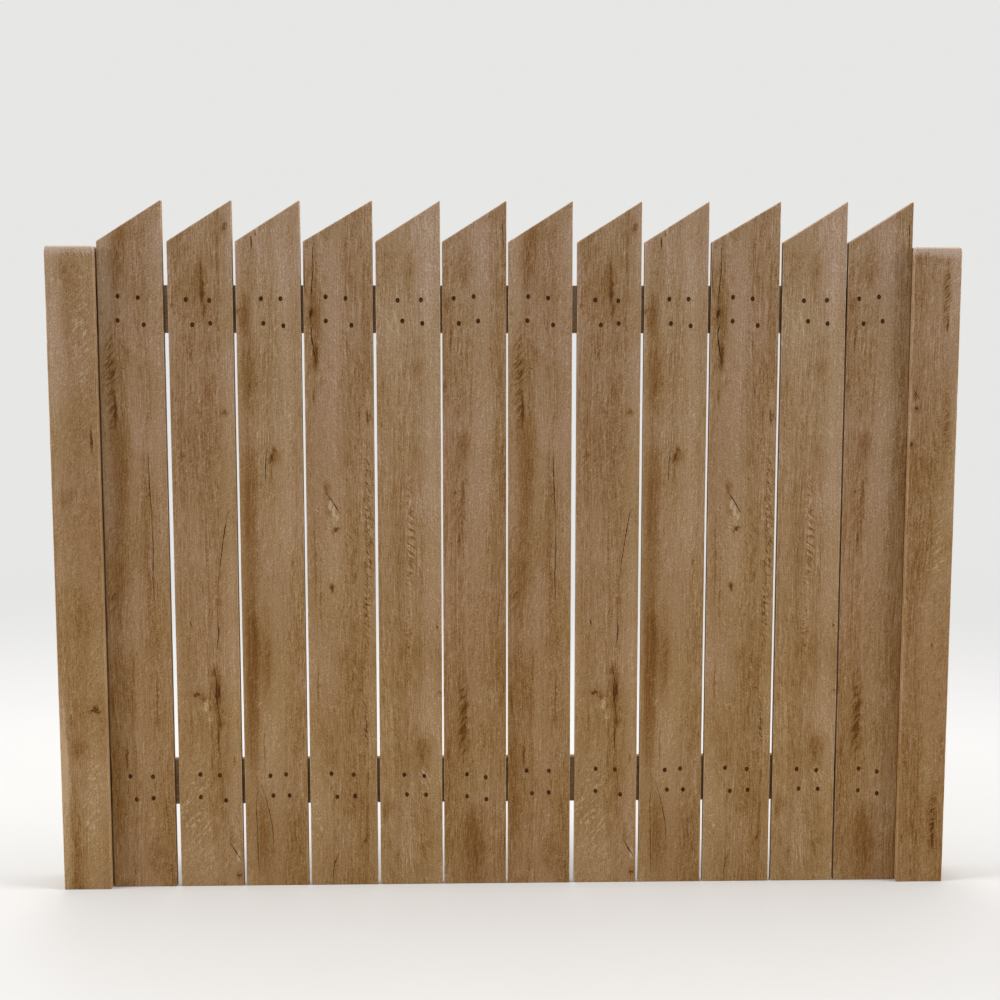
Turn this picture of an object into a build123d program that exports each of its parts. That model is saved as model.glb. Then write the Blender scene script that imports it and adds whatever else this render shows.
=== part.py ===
"""Wooden garden fence panel: two posts, two rails, twelve slant-topped pickets and their nails.

Millimetres. X runs along the fence, the front faces -Y, Z is up and the feet stand on Z = 0.
"""
import os

from build123d import *

os.makedirs("parts", exist_ok=True)

# Posts: their tops stay a set drop below the picket peaks
post_width = 95.0
post_depth = 95.0
post_drop = 89.0
post_edge_ease = 4.0
# The worn top draws in twice: a long slight slope, then a short steep one
cap_slope_height = 10.0
cap_slope_inset = 2.0
cap_brow_height = 4.5
cap_brow_inset = 3.5

# Pickets
picket_width = 127.0
wide_picket_width = 136.0
picket_thickness = 16.0
picket_peak_height = 1384.0
slant_rise = 80.0
picket_ease = 1.6
post_reveal = 13.0

# Six boards make a bay, and the fence has two equal bays
bay_widths = [picket_width, picket_width, picket_width,
              wide_picket_width, picket_width, picket_width]
bay_gaps = [9.5, 6.0, 5.5, 6.0, 3.5, 3.5]
bay_count = 2
left_end_gap = 3.0
right_end_gap = 0.5

# Rails: the upper one hangs a set drop below the picket peaks
rail_height = 94.0
rail_thickness = 16.0
rail_ease = 1.6
upper_rail_drop = 164.0
lower_rail_bottom = 168.0

# Rail ends: stub tenons let into the posts
tenon_length = 30.0
tenon_shoulder = 12.0
tenon_clearance = 0.3
mortise_end_gap = 2.0

# Oval nails, long way along the grain, their heads punched a little below the face
head_width = 7.8
head_length = 9.6
head_thickness = 1.6
head_sink = 0.8
head_clearance = 0.15
shank_width = 2.6
shank_breadth = 4.0
shank_clearance = 0.1
nail_cover = 2.5
nail_point_gap = 0.5

# Where the four nails of a crossing sit, as parts of the board's width from its left edge
# and of the rail's height from its bottom edge. Driven by eye, so each board has its own.
upper_nails = [
    [(0.31, 0.76), (0.62, 0.73), (0.30, 0.26), (0.70, 0.17)],
    [(0.28, 0.69), (0.64, 0.67), (0.37, 0.17), (0.65, 0.20)],
    [(0.39, 0.71), (0.69, 0.71), (0.42, 0.20), (0.73, 0.15)],
    [(0.32, 0.75), (0.61, 0.72), (0.32, 0.25), (0.69, 0.16)],
    [(0.34, 0.68), (0.70, 0.69), (0.41, 0.25), (0.72, 0.20)],
    [(0.18, 0.72), (0.49, 0.76), (0.26, 0.20), (0.56, 0.25)],
]
lower_nails = [
    [(0.30, 0.71), (0.66, 0.70), (0.39, 0.20), (0.66, 0.22)],
    [(0.34, 0.74), (0.65, 0.72), (0.34, 0.24), (0.74, 0.16)],
    [(0.41, 0.70), (0.66, 0.73), (0.45, 0.26), (0.71, 0.26)],
    [(0.32, 0.74), (0.65, 0.71), (0.40, 0.22), (0.67, 0.24)],
    [(0.39, 0.70), (0.71, 0.67), (0.43, 0.26), (0.74, 0.25)],
    [(0.37, 0.70), (0.67, 0.63), (0.37, 0.21), (0.68, 0.14)],
]
# The lower nails of the left bay sit this much lower than the pattern, the right bay's higher
lower_nail_drift = 3.0

# Places that follow from the sizes
post_height = picket_peak_height - post_drop
upper_rail_bottom = picket_peak_height - upper_rail_drop - rail_height
bay_pitch = sum(bay_widths) + sum(bay_gaps)
inner_width = left_end_gap + bay_count * bay_pitch - bay_gaps[-1] + right_end_gap
inner_left = -inner_width / 2
inner_right = inner_width / 2
post_front = -post_depth / 2
picket_front = post_front + post_reveal
rail_front = picket_front + picket_thickness
rail_middle = rail_front + rail_thickness / 2
tenon_height = rail_height - 2 * tenon_shoulder
recess_depth = head_thickness + head_sink
nail_reach = rail_thickness - nail_cover
rail_bottoms = [upper_rail_bottom, lower_rail_bottom]
cap_bottom = post_height - cap_slope_height - cap_brow_height
slope_width = post_width - 2 * cap_slope_inset
slope_depth = post_depth - 2 * cap_slope_inset

# Planes whose sketches read as the fence seen from the front
picket_plane = Plane.XZ.offset(-picket_front)
rail_plane = Plane.XZ.offset(-rail_front)
head_plane = Plane.XZ.offset(-picket_front - head_sink)
seat_plane = Plane.XZ.offset(-picket_front - recess_depth)


def eased_square(width, depth, ease):
    """Corners of a post's section: each edge is taken off in two flats."""
    half_w = width / 2
    half_d = depth / 2
    mid = 0.29 * ease
    corner = [(half_w, half_d - ease), (half_w - mid, half_d - mid), (half_w - ease, half_d)]
    points = corner + [(-x, y) for x, y in reversed(corner)]
    return points + [(x, -y) for x, y in reversed(points)]


def octagon(width, length):
    """Corners of an upright oval with eight flats."""
    half_w = width / 2
    half_l = length / 2
    cut_w = 0.414 * half_w
    cut_l = 0.414 * half_l
    return [(half_w, -cut_l), (half_w, cut_l), (cut_w, half_l), (-cut_w, half_l),
            (-half_w, cut_l), (-half_w, -cut_l), (-cut_w, -half_l), (cut_w, -half_l)]


# The row of boards from left to right, each with its left edge, width and eight nail places
boards = []
upper_spots = []
lower_spots = []
board_left = inner_left + left_end_gap
for bay in range(bay_count):
    drift = lower_nail_drift if bay else -lower_nail_drift
    for turn, width in enumerate(bay_widths):
        top_spots = [(board_left + fx * width, upper_rail_bottom + fz * rail_height)
                     for fx, fz in upper_nails[turn]]
        low_spots = [(board_left + fx * width, lower_rail_bottom + fz * rail_height + drift)
                     for fx, fz in lower_nails[turn]]
        upper_spots += top_spots
        lower_spots += low_spots
        boards.append((board_left, width, top_spots + low_spots))
        board_left += width + bay_gaps[turn]


# Posts, with a mortise for each rail in the inner face
for name, inner_x in (("left_post", inner_left), ("right_post", inner_right)):
    side = -1 if inner_x < 0 else 1
    middle_x = inner_x + side * post_width / 2
    with BuildPart() as post:
        with BuildSketch(Plane.XY):
            with Locations((middle_x, 0)):
                Polygon(*eased_square(post_width, post_depth, post_edge_ease))
        extrude(amount=cap_bottom)
        with BuildSketch(Plane.XY.offset(cap_bottom)):
            with Locations((middle_x, 0)):
                Polygon(*eased_square(post_width, post_depth, post_edge_ease))
        with BuildSketch(Plane.XY.offset(cap_bottom + cap_slope_height)):
            with Locations((middle_x, 0)):
                Polygon(*eased_square(slope_width, slope_depth, post_edge_ease))
        loft(ruled=True)
        with BuildSketch(Plane.XY.offset(cap_bottom + cap_slope_height)):
            with Locations((middle_x, 0)):
                Polygon(*eased_square(slope_width, slope_depth, post_edge_ease))
        with BuildSketch(Plane.XY.offset(post_height)):
            with Locations((middle_x, 0)):
                Polygon(*eased_square(slope_width - 2 * cap_brow_inset,
                                      slope_depth - 2 * cap_brow_inset, post_edge_ease))
        loft(ruled=True)
        with BuildSketch(Plane.YZ.offset(inner_x)):
            with Locations(*[(rail_middle, bottom + rail_height / 2) for bottom in rail_bottoms]):
                Rectangle(rail_thickness + 2 * tenon_clearance, tenon_height + 2 * tenon_clearance)
        extrude(amount=side * (tenon_length + mortise_end_gap), mode=Mode.SUBTRACT)
    post.part.label = name
    export_step(post.part, "parts/" + name + ".step")


# Rails, with a stub tenon at each end and a blind bore for each nail
for name, bottom, spots in (("upper_rail", upper_rail_bottom, upper_spots),
                            ("lower_rail", lower_rail_bottom, lower_spots)):
    with BuildPart() as rail:
        with BuildSketch(rail_plane):
            with Locations((0, bottom + rail_height / 2)):
                Rectangle(inner_width, rail_height)
        extrude(amount=-rail_thickness)
        chamfer(rail.edges().filter_by(Axis.X), length=rail_ease)
        with BuildSketch(rail_plane):
            with Locations((0, bottom + rail_height / 2)):
                Rectangle(inner_width + 2 * tenon_length, tenon_height)
        extrude(amount=-rail_thickness)
        with BuildSketch(rail_plane):
            with Locations(*spots):
                Rectangle(shank_width + 2 * shank_clearance,
                          shank_breadth + 2 * shank_clearance)
        extrude(amount=-nail_reach - nail_point_gap, mode=Mode.SUBTRACT)
    rail.part.label = name
    export_step(rail.part, "parts/" + name + ".step")


# Pickets with their nails
for number, (left, width, spots) in enumerate(boards, start=1):
    right = left + width
    shoulder = picket_peak_height - slant_rise

    with BuildPart() as picket:
        with BuildSketch(picket_plane):
            with BuildLine():
                Polyline((left, 0), (right, 0), (right, picket_peak_height), (left, shoulder),
                         close=True)
            make_face()
        extrude(amount=-picket_thickness)
        broad_faces = picket.faces().filter_by(Axis.Y)
        arrises = broad_faces.edges().filter_by_position(Axis.Z, 1.0, picket_peak_height)
        chamfer(arrises, length=picket_ease)
        with BuildSketch(picket_plane):
            with Locations(*spots):
                Polygon(*octagon(head_width + 2 * head_clearance, head_length + 2 * head_clearance))
        extrude(amount=-recess_depth, mode=Mode.SUBTRACT)
        with BuildSketch(picket_plane):
            with Locations(*spots):
                Rectangle(shank_width + 2 * shank_clearance,
                          shank_breadth + 2 * shank_clearance)
        extrude(amount=-picket_thickness, mode=Mode.SUBTRACT)
    picket_name = "picket_%02d" % number
    picket.part.label = picket_name
    export_step(picket.part, "parts/" + picket_name + ".step")

    with BuildPart() as nails:
        with BuildSketch(head_plane):
            with Locations(*spots):
                Polygon(*octagon(head_width, head_length))
        extrude(amount=-head_thickness)
        with BuildSketch(seat_plane):
            with Locations(*spots):
                Rectangle(shank_width, shank_breadth)
        extrude(amount=-(picket_thickness - recess_depth + nail_reach))
    nails_name = "picket_%02d_nails" % number
    nails.part.label = nails_name
    export_step(nails.part, "parts/" + nails_name + ".step")
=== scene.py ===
"""Slant-topped oak garden fence: posts, rails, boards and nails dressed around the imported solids.

The scene is in metres. The marks on the wood are listed in millimetres on their own piece.
"""

import math
import random
from typing import NamedTuple

import bmesh
import bpy
from bpy.props import FloatProperty, FloatVectorProperty, PointerProperty
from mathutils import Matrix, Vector, noise


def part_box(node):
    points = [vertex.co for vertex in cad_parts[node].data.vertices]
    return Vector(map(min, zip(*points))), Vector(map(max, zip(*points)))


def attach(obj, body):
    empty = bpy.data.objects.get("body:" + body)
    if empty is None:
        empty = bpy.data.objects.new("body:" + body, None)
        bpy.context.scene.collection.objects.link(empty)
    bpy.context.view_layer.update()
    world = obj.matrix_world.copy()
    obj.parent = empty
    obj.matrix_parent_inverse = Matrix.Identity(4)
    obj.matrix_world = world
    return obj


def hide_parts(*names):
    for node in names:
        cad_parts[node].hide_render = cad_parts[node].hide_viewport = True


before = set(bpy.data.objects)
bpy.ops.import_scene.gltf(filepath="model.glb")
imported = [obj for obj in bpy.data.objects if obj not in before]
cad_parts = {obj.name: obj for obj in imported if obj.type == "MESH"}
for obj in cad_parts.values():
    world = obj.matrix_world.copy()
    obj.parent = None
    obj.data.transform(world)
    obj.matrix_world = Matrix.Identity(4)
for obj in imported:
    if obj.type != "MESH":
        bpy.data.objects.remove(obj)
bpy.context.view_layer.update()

bl_info = {
    "name": "Oak garden fence",
    "version": (1, 0, 0),
    "blender": (4, 5, 0),
    "location": "View3D > Sidebar > Fence",
    "description": "Dresses a slant-topped oak fence panel with worn edges, grain, knots and nails",
    "category": "Add Mesh",
}

MM = 0.001
BOARD_COUNT = 12
BOARDS_PER_BAY = 6
NAILS_PER_BOARD = 8
SHOULDER_DROP = 80 * MM

# Each piece's seed picks its stretch of grain and its wear; a board's wear follows its number
POST_SEEDS = {"left": 20, "right": 23}
RAIL_SEEDS = {"upper": 31, "lower": 36}
NAIL_SEED = 500

# Post profiles in millimetres: how far the faces draw in, and the height above the foot or drop
# from the top where they do
POST_FOOT = ((0.9, 0.0), (0.3, 0.3), (0.0, 0.9))
POST_CAP = ((0.0, 11.0), (0.25, 8.6), (0.7, 6.2), (1.4, 3.9), (2.3, 2.0), (3.3, 0.9),
            (4.6, 0.3), (7.0, 0.08), (12.0, 0.0))
CAP_ROUNDING = 0.4
BOARD_FOOT = 0.8 * MM
TOP_STEPS = 4

# Wear along an edge
RUBS_PER_METRE = 9.0
RUB_SWING = 0.8
CHIPS_PER_METRE = 55.0
CHIP_LEVEL = 0.25
CHIP_SWING = 1.6
LEAST_RADIUS = 0.1 * MM

# Drying splits: lengths in millimetres, then shares of a split's width
SPLIT_STEP = 4.5
SPLIT_PROUD = -0.4
SPLIT_WANDER = 0.45
SPLIT_FLOOR = 0.5
SPLIT_DEPTHS = (0.55, 0.9)
SPLIT_HALVES = (0.35, 1.1)
SPLIT_MEAN_HALF = 0.75
SPLIT_FLARE = 1.4
SPLIT_LEAN = 0.3
SPLIT_SWELL = 0.7

# Joinery: the rails' tenons and the mortises that take them
TENON_SHOULDER = 12 * MM
TENON_EDGE = 0.3 * MM
TENON_BEVEL = 0.8 * MM
MORTISE_ROOM = 0.3 * MM
MORTISE_DEPTH = 32 * MM
OVERSHOOT = 2 * MM

# Nails: half width and height of the head, shank and point, and how deep each section lies. A
# section of the head is a share of its half sizes, and its depth is in millimetres
HEAD_HALF = (3.75 * MM, 4.6 * MM)
SHANK_HALF = (1.3 * MM, 2.0 * MM)
POINT_HALF = (0.5 * MM, 0.8 * MM)
HEAD_PROFILE = ((0.28, 0.0), (0.58, 0.06), (0.82, 0.22), (0.95, 0.5), (1.0, 0.9), (0.98, 1.55))
SHANK_PROFILE = ((SHANK_HALF, 1.6 * MM), (SHANK_HALF, 23.5 * MM), (POINT_HALF, 28.5 * MM))
NAIL_TURN = 0.1
HAMMERING = 0.05
# Their holes: a sinking whose mouth flares, then a bore
BORE_HALF = (1.5 * MM, 2.2 * MM)
RAIL_BORE = (-1.0 * MM, 14.0 * MM)
BORE_PAST = 1 * MM
MOUTH_PROUD = -0.6 * MM
MOUTH_DEPTH = 0.5 * MM
MOUTH_FLARE = 0.1 * MM
SINKING_DEPTH = 2.4 * MM
HOLE_TURN = 0.12
# A packed nail's head is the slice of it at the front, no wider than its reach
HEAD_SLICE = 0.2 * MM
HEAD_REACH = 16 * MM

# Roundness of the meshes, and the angles in degrees above which an edge shades as sharp
CORNER_STEPS = 4
OVAL_STEPS = 16
BORE_STEPS = 10
WOOD_CREASE = 40
IRON_CREASE = 50

# Soft lamps: name, power among the stage's values, place, width and height
LAMPS = (
    ("key_lamp", "key_power", (-0.9, -4.0, 2.5), 3.2, 2.4),
    ("left_lamp", "side_power", (-8.0, -1.35, 2.6), 3.2, 2.4),
    ("right_lamp", "side_power", (8.0, -1.35, 2.6), 3.2, 2.4),
    ("top_lamp", "top_power", (0.0, 0.35, 3.6), 3.2, 1.6),
    ("back_lamp", "back_power", (-1.0, 4.2, 4.6), 3.2, 2.0),
)
LAMP_AIM = Vector((0.0, 0.0, 0.7))
FLOOR_RADIUS = 40.0


def shade(red, green, blue):
    """A colour given as it looks on a screen, turned into the linear values that a finish needs."""
    linear = []
    for level in (red, green, blue):
        part = level / 255
        linear.append(part / 12.92 if part <= 0.04045 else ((part + 0.055) / 1.055) ** 2.4)
    return tuple(linear)


class Marks(NamedTuple):
    """What one piece shows, in millimetres from its lower left corner.

    A spot is (across, up, half width, half height, strength). A split is its width and the points
    that it runs through. lean is the slope of the ray fleck and strokes in radians.
    """

    tone: float
    red: float
    lean: float
    stroke_wide: float = 0.0
    stroke_pale: float = 0.0
    patches: list = []
    streaks: list = []
    strokes: list = []
    flecks: list = []
    knots: list = []
    pale: list = []
    splits: list = []


# The boards of one bay, from left to right; the second bay repeats them
BOARD_MARKS = [
    Marks(
        tone=-.02, red=.25, lean=.8, stroke_wide=4.8, stroke_pale=.02,
        patches=[(16, 700, 26, 900, .1), (24, 1010, 9, 120, .4), (35, 1282, 25, 93, .3),
                 (35, 858, 25, 140, .5), (29, 669, 17, 152, .25), (85, 63, 33, 62, .35),
                 (13, 249, 11, 234, .15)],
        streaks=[(33, 267, 3.3, 28, .7), (7, 384, 4.5, 49, .4), (48, 371, 5.6, 185, .25),
                 (96, 383, 3.3, 74, .35), (29, 969, 3.9, 41, .5)],
        strokes=[(20, 1037, 14, 120, .7), (12, 611, 10, 76, .5)],
        flecks=[(76, 824, 11, 35, .5)],
        pale=[(62, 552, 22, 117, .2)],
        splits=[(1.5, [(91, 898), (91, 852), (93, 795), (96, 766)]),
                (1.3, [(96, 762), (96, 686), (94, 634), (97, 578)]), (1.2, [(43, 1057), (50, 1055)])]),
    Marks(
        tone=0.0, red=.1, lean=.9,
        patches=[(59, 1221, 18, 76, .35), (42, 1093, 12, 35, .4), (76, 1008, 11, 35, .25),
                 (21, 881, 9, 9, .45), (104, 105, 7, 25, .5), (86, 586, 8, 64, .35),
                 (82, 400, 17, 66, .45)],
        streaks=[(65, 1245, 4, 34, .5), (68, 1206, 6, 24, .7), (71, 1172, 4, 22, .5),
                 (8, 1182, 2.2, 8, .6), (113, 263, 2.8, 15, .5), (82, 309, 2.8, 43, .5)],
        flecks=[(37, 149, 39, 117, 1.0), (42, 1081, 22, 35, .7), (65, 370, 22, 37, .7),
                (87, 610, 17, 29, .7)],
        knots=[(113, 1329, 5, 15, .6), (105, 966, 7, 9, .5), (76, 445, 5, 9, .65),
               (82, 400, 4.5, 17, .5), (87, 345, 5, 11, .55), (40, 402, 9, 4.5, .85),
               (55, 395, 9, 6, .35), (116, 19, 5.6, 7, .7)],
        pale=[(57, 374, 8, 18, 1.5), (66, 352, 12, 14, .7), (117, 60, 6, 16, 2.0)],
        splits=[(1.3, [(119, 786), (108, 766), (101, 726), (95, 685), (89, 645), (87, 621)]),
                (1.2, [(70, 578), (67, 561)]), (1.2, [(30, 552), (31, 539)]),
                (1.6, [(84, 551), (87, 528), (82, 493)]),
                (1.6, [(76, 456), (80, 425), (78, 400), (84, 353), (89, 341)]),
                (1.0, [(83, 328), (81, 278)]), (1.7, [(101, 91), (111, 73), (124, 53)])]),
    Marks(
        tone=.06, red=0.0, lean=.9,
        patches=[(16, 600, 25, 560, .5), (14, 1160, 16, 52, .5), (22, 1059, 24, 117, .45),
                 (75, 880, 16, 23, .35), (40, 470, 36, 150, .4), (50, 450, 12, 90, .25),
                 (19, 500, 20, 150, .3), (36, 111, 19, 99, .4), (22, 1227, 20, 117, .3),
                 (22, 783, 21, 152, .3), (19, 330, 19, 140, .5), (70, 80, 80, 190, .5),
                 (64, 560, 60, 150, .2)],
        streaks=[(32, 1299, 2.2, 17, .9), (41, 1320, 1.7, 6, .9), (3, 1171, 2.8, 12, .7),
                 (42, 284, 2.8, 56, .5)],
        flecks=[(33, 418, 17, 62, .8)],
        knots=[(66, 880, 5, 15, .8)],
        pale=[(53, 670, 5.6, 7, .5)],
        splits=[(1.2, [(57, 903), (53, 869), (52, 826)]),
                (1.1, [(29, 225), (22, 173), (24, 98), (26, 6)]),
                (1.1, [(31, 222), (45, 173), (55, 123), (57, 61)]), (1.2, [(32, 1316), (32, 1291)])]),
    Marks(
        tone=.02, red=.15, lean=-.7, stroke_wide=2.7, stroke_pale=.05,
        patches=[(25, 1154, 16, 87, .5), (42, 816, 9, 26, .7), (44, 776, 13, 22, .4),
                 (44, 264, 15, 25, .2), (122, 1126, 14, 128, .25), (23, 1260, 8, 52, .3)],
        streaks=[(23, 1079, 6.5, 34, .7), (17, 997, 3, 23, .5), (2, 1227, 1.8, 47, .5),
                 (125, 963, 4.8, 21, .8), (17, 667, 2.4, 152, .35), (27, 609, 1.8, 87, .35),
                 (20, 430, 2.4, 62, .4), (116, 121, 3.6, 80, .3)],
        strokes=[(124, 754, 13, 200, 1.1), (115, 337, 8, 70, .9), (118, 560, 10, 100, .8)],
        flecks=[(19, 122, 8.4, 43, .9)],
        knots=[(14, 1163, 5.4, 10, .7), (59, 735, 7, 5, .9), (49, 616, 6, 9, .9), (112, 96, 2.4, 7, .9),
               (104, 404, 3.6, 2, .8)],
        pale=[(48, 784, 4, 11, 2.2), (55, 772, 4.5, 11, 2.6), (62, 761, 4, 9, 2.2)],
        splits=[(1.5, [(19, 1305), (20, 1249), (16, 1210), (13, 1174)]),
                (1.8, [(14, 1157), (17, 1143), (14, 1124), (19, 1090), (25, 1057)]),
                (1.1, [(89, 1025), (91, 994)]), (1.5, [(39, 810), (51, 794), (67, 766)]),
                (1.1, [(112, 365), (116, 337), (111, 299)]), (1.3, [(58, 66), (48, 47), (43, 14)])]),
    Marks(
        tone=.06, red=0.0, lean=-.75, stroke_wide=3.0, stroke_pale=.13,
        patches=[(66, 1244, 14, 41, .35), (82, 1065, 17, 23, .25), (92, 280, 24, 44, .45),
                 (13, 158, 13, 31, .5)],
        streaks=[(70, 831, 3.3, 26, .4)],
        strokes=[(65, 725, 11, 150, 1.1), (60, 520, 9, 60, .7)],
        flecks=[(91, 220, 17, 39, 1.0), (110, 1255, 11, 17, .5)],
        knots=[(119, 540, 2.2, 6, .8), (123, 402, 3.3, 2, .8), (34, 741, 1.7, 2, .7)],
        pale=[(60, 108, 22, 99, .3), (49, 1160, 33, 117, .15), (64, 600, 13, 620, .35)]),
    Marks(
        tone=0.0, red=.3, lean=.7, stroke_wide=4.6, stroke_pale=.02,
        patches=[(40, 1250, 22, 55, .35), (43, 902, 16, 37, .55), (60, 94, 32, 112, .6),
                 (40, 348, 11, 117, .4), (40, 765, 9, 93, .3)],
        streaks=[(18, 1115, 2.8, 35, .5), (25, 1048, 2.2, 35, .5), (57, 980, 3.3, 35, .3),
                 (40, 811, 4.5, 41, .3), (32, 712, 2.8, 20, .5), (8, 269, 1.7, 31, .5),
                 (123, 88, 1.7, 31, .6)],
        strokes=[(40, 348, 15, 125, .65), (35, 762, 10, 20, .6)],
        flecks=[(40, 1250, 22, 52, .6)],
        knots=[(25, 812, 2.2, 6, .8), (75, 328, 2.8, 2, .7)],
        pale=[(99, 610, 10, 9, .4)],
        splits=[(1.2, [(119, 1344), (121, 1289)])]),
]
POST_MARKS = {
    "left": Marks(
        tone=-.02, red=.1, lean=.9,
        patches=[(39, 1248, 21, 35, .35), (41, 1154, 15, 99, .25), (28, 803, 25, 29, .3),
                 (60, 860, 55, 330, .35), (53, 555, 25, 70, .2), (39, 293, 20, 23, .45)],
        streaks=[(82, 919, 4.2, 32, .9)],
        flecks=[(68, 1126, 25, 152, .8), (62, 180, 25, 123, .9), (28, 1226, 17, 23, .6)],
        knots=[(72, 370, 11, 6, .65)],
        pale=[(8, 900, 13, 900, .45), (6, 170, 16, 320, 2.0), (55, 110, 50, 180, .4)],
        splits=[(1.2, [(55, 371), (68, 372), (78, 367), (89, 371)])]),
    "right": Marks(
        tone=-.035, red=.05, lean=.9, stroke_wide=3.0, stroke_pale=.06,
        patches=[(66, 1190, 12, 90, .3), (74, 960, 14, 110, .3), (70, 140, 12, 90, .35)],
        streaks=[(70, 1140, 2.6, 18, .9), (8, 1000, 5, 14, .5), (58, 495, 2, 9, .8), (8, 92, 2, 12, .6),
                 (72, 88, 3, 20, .7)],
        strokes=[(67, 1195, 8, 70, .9), (72, 960, 8, 110, .5), (71, 135, 8, 65, .9)],
        flecks=[(68, 690, 12, 110, .8)],
        knots=[(12, 975, 5, 4, .8), (5, 905, 4, 5, .7)],
        pale=[(40, 560, 12, 140, .25)],
        splits=[(1.8, [(5, 1018), (11, 1006), (18, 996)])]),
}
# The rails' tone is raised to paint in light that the narrow gaps between the boards keep from them, so
# from behind the rails look paler than the boards
RAIL_MARKS = Marks(
    tone=.22, red=0.0, lean=.9, stroke_wide=4.0, stroke_pale=.04,
    patches=[(40, 300, 22, 120, .4), (60, 820, 20, 150, .35), (30, 1310, 24, 110, .45)],
    streaks=[(20, 560, 3, 60, .5), (70, 1130, 3, 80, .5), (55, 210, 2.5, 50, .5)],
    strokes=[(30, 700, 10, 110, .6)],
    flecks=[(50, 1000, 24, 140, .8), (30, 120, 20, 80, .7)],
    knots=[(58, 470, 9, 14, .9), (24, 1190, 7, 10, .8)])

# The oak's noises: size of a lump (across, deep, along) in millimetres, detail and roughness
GRAINS = {
    "sway": ((110, 110, 420), 1.0, 0.5),
    "waver": ((22, 34, 70), 2.0, 0.6),
    "frizz": ((4.5, 7.0, 9.0), 2.0, 0.6),
    "cloud": ((66, 80, 140), 0.5, 0.5),
    "bands": ((42, 90, 1300), 0.0, 0.5),
    "lines": ((3.8, 8.0, 300), 1.5, 0.6),
    "fine": ((1.6, 2.4, 30), 0.5, 0.5),
    "grit": ((1.5, 2.4, 2.7), 0.5, 0.5),
}
SEED_STEP = (173.0, 61.0, 397.0)
# How far in millimetres a noise pushes the points at which others are read
SWAY_PUSH = (44.0, 20.0, 0.0)
WAVER_PUSH = (9.0, 4.0, 24.0)
SOFT_PUSH = (10.0, 4.0, 30.0)
RAGGED_PUSH = (7.0, 3.0, 13.0)
GNARLED_PUSH = (14.0, 4.0, 22.0)
# How each kind of spot fades: whole inside its core and gone at its rim, as shares of its half
# size, and the weight of its strength
FADES = {
    "flecks": (0.4, 1.15, 1.0),
    "strokes": (0.3, 1.1, 1.0),
    "patches": (0.1, 1.2, 0.36),
    "streaks": (0.0, 1.2, 0.6),
    "pale": (0.2, 1.15, 0.18),
    "knot_core": (0.1, 1.25, 0.5),
    "knot_halo": (0.6, 2.6, 1.0),
}
# Smooth changes: the low and high ends of what is read, and the values that come out there
EASES = {
    "busy": (0.38, 0.62, 1.2, 0.6),
    "broken_hair": (0.4, 0.52),
    "stroke": (0.46, 0.57),
    "patchy": (0.36, 0.64, 0.2, 0.7),
    "end_cut": (0.45, 0.75),
    # painted highlight along the rim of a board's slanted top
    "slant_rim_highlight": (0.8, 3.2, 0.22, 0.0),
    "redness": (0.4, 0.6, -0.1, 0.5),
    "bleach": (0.28, 0.5, 0.35, 0.85),
    # painted highlight along the rim of a post's top, strongest near its edges
    "post_rim_highlight": (2.0, 16.0, 0.75, 0.08),
}
SPOT_DEPTH = 40.0
VEIN_WIDTH = 0.035
HAIR_WIDTH = 0.055
HAIR_SIZE = (8.0, 14.0, 40.0)
HAIR_LEAN = 0.8
HAIR_LEAST = 0.45
STROKE_DEEP = 12.0
STROKE_LENGTH = 4.6
STROKE_DARK = 0.36
HALO_DARK = 0.10
HALO_WAVE = 0.05
HALO_WAVES = 7.0
RUB_LIFT = 0.16
# A post's weathered head: how far below the top it starts and is whole, and how ragged its rim is
WEATHER_BAND = (20.0, 7.0)
WEATHER_RAGGED = 14.0
WEATHER_LIFT = 0.12
# A painted highlight along the rim of a post's top: how far below the top it starts and is whole
POST_HIGHLIGHT_BAND = (5.0, 1.6)
# Growth rings on sawn ends: where the pith lies, as shares of width and thickness, and the pitch
PITH = (-0.4, 2.2)
RING_PITCH = 1.6
RING_WANDER = 5.0
RING_DEPTH = 0.09
END_DARK = 0.06
# Heights in millimetres between which a painted tint of the light goes from warm at the foot to cool
# and grey at the head
LIGHT_TINT_HEIGHTS = (250.0, 1500.0)


def math_operator(operation, turned=False):
    """A method for Value that adds one Math node, with the value itself second where turned."""
    def build(self, other=0.0):
        first, second = (other, self) if turned else (self, other)
        return self.finish.add("ShaderNodeMath", {"operation": operation}, {0: first, 1: second})
    return build


class Value:
    """A socket on a finish's node sheet. Plain arithmetic on it adds Math nodes."""

    def __init__(self, finish, socket):
        self.finish = finish
        self.socket = socket

    __add__ = math_operator("ADD")
    __radd__ = math_operator("ADD", turned=True)
    __sub__ = math_operator("SUBTRACT")
    __rsub__ = math_operator("SUBTRACT", turned=True)
    __mul__ = math_operator("MULTIPLY")
    __rmul__ = math_operator("MULTIPLY", turned=True)
    __truediv__ = math_operator("DIVIDE")
    __rtruediv__ = math_operator("DIVIDE", turned=True)
    __abs__ = math_operator("ABSOLUTE")
    lesser = math_operator("MINIMUM")
    greater = math_operator("MAXIMUM")
    sine = math_operator("SINE")


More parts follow.
